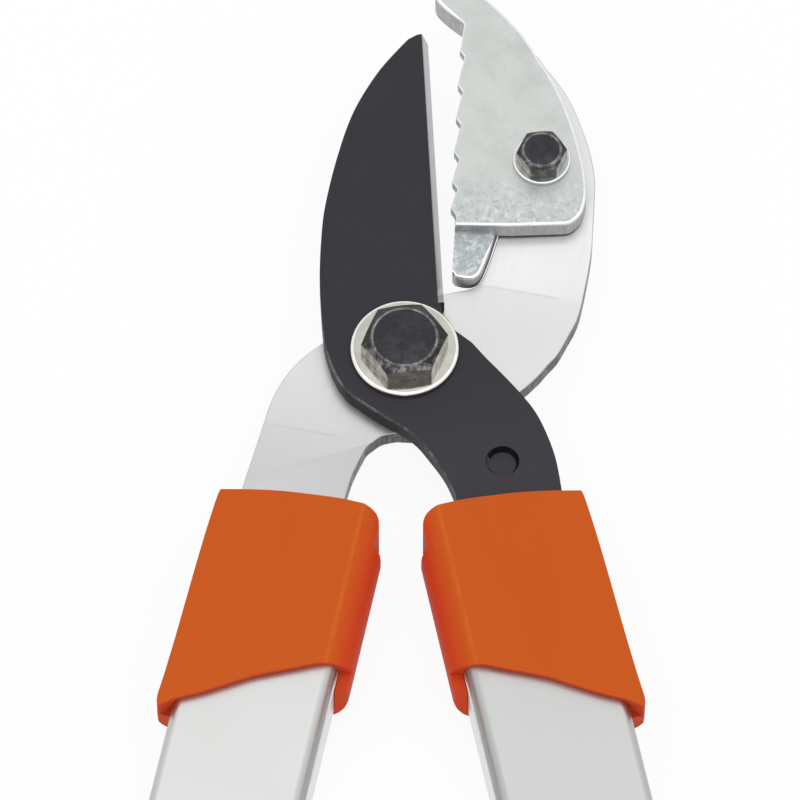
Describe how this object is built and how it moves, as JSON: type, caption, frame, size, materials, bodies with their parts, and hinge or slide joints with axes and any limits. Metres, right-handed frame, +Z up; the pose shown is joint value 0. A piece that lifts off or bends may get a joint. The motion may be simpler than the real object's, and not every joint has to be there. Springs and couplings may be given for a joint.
{
  "type": "anvil lopper",
  "caption": "Long-handled anvil lopper: a coated blade pivots on a joggled steel arm and closes on a toothed, bolted anvil; tube handles with collars, grips and capped ends.",
  "frame": {"origin": "on the pivot axis, in the plane on which the tool lies, at the flush end of pivot bolt and nut", "axes": "+Y from the handles to the head, +Z up along the pivot axis out of the front of the head, +X to the anvil side"},
  "size_m": [0.3152, 0.6909, 0.026],
  "materials": {
    "blade_coat": "matte non-stick coating on steel, bare ground edge",
    "arm_steel": "satin nickel plated steel",
    "anvil_zinc": "zinc plated, slightly mottled",
    "black_bolt": "black oxide",
    "zinc": "bright zinc",
    "bright_washer": "polished nickel",
    "disc": "low friction plastic",
    "tube": "satin anodised",
    "insert": "moulded",
    "rivet": "plain",
    "collar": "fine moulded texture",
    "grip": "soft moulded grip",
    "cap": "fine moulded texture"
  },
  "bodies": {
    "anvil_side": {"anvil_arm": "arm_steel", "pivot_bolt": "black_bolt", "pivot_washer": "bright_washer", "slide_disc": "disc", "pivot_back_washer": "zinc", "pivot_nut": "zinc", "left_tube": "tube", "left_insert": "insert", "left_rivets": "rivet", "left_collar": "collar", "left_grip": "grip", "left_end_cap": "cap"},
    "blade_side": {"blade": "blade_coat", "right_tube": "tube", "right_insert": "insert", "right_rivets": "rivet", "right_collar": "collar", "right_grip": "grip", "right_end_cap": "cap"},
    "anvil_set": {"anvil": "anvil_zinc", "anvil_bolt": "black_bolt", "anvil_washer": "zinc", "anvil_back_washer": "zinc", "anvil_nut": "zinc"}
  },
  "joints": [
    {"name": "blade_pivot", "type": "hinge", "parent": "anvil_side", "child": "blade_side", "pos_m": [0, 0, 0], "axis": [0, 0, 1], "range_deg": [-5.9, 46]},
    {"name": "anvil_adjust", "type": "slide", "parent": "anvil_side", "child": "anvil_set", "axis": [0.2079, 0.9781, 0], "range_m": [0, 0.0006]}
  ]
}
